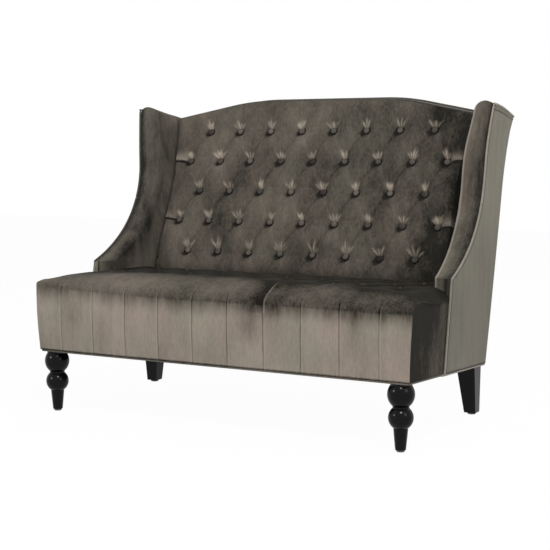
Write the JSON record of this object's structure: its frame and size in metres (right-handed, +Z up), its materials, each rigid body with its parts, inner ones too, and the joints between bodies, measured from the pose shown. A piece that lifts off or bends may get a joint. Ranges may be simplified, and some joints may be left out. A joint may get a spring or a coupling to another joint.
{
  "type": "loveseat",
  "caption": "Tufted wing-back loveseat with a camel-top back, channelled seat front, turned front legs and tapered rear legs.",
  "frame": {"origin": "on the floor, at the bottom centre of the whole loveseat", "axes": "+X to the right as seen from the front, +Y towards the back, +Z up"},
  "size_m": [1.288, 0.8278, 0.9899],
  "materials": {
    "frame_timber": "raw birch plywood, sawn edges",
    "steel": "bright zinc-plated steel",
    "webbing": "woven jute webbing and felt",
    "velvet": "crushed velvet, warm dark taupe grey",
    "velvet_seat": "crushed velvet, brushed lighter on the front",
    "velvet_outside": "crushed velvet, smooth",
    "velvet_welt": "velvet piping",
    "dust_cloth": "black non-woven cloth",
    "leg_finish": "black lacquer, satin gloss",
    "glide": "grey nylon"
  },
  "bodies": {
    "root": {"front_rail": "frame_timber", "rear_rail": "frame_timber", "side_frame_left": "frame_timber", "side_frame_right": "frame_timber", "center_rail": "frame_timber", "corner_blocks": "frame_timber", "back_post_left": "frame_timber", "back_post_right": "frame_timber", "back_top_rail": "frame_timber", "back_lower_rail": "frame_timber", "back_center_stile": "frame_timber", "seat_springs": "steel", "spring_clips": "steel", "spring_ties": "steel", "spring_deck": "webbing", "back_webbing": "webbing", "seat_pad": "velvet_seat", "back_pad": "velvet", "wing_pad_left": "velvet", "wing_pad_right": "velvet", "side_panel_left": "velvet_outside", "side_panel_right": "velvet_outside", "outside_back_panel": "velvet_outside", "back_buttons": "velvet", "wing_welt_left": "velvet_welt", "wing_welt_right": "velvet_welt", "bottom_welt": "velvet_welt", "back_welt": "velvet_welt", "dust_cover": "dust_cloth", "front_leg_left": "leg_finish", "front_leg_right": "leg_finish", "rear_leg_left": "leg_finish", "rear_leg_right": "leg_finish", "hanger_bolts": "steel", "tee_nuts": "steel", "leg_glides": "glide"}
  },
  "joints": []
}
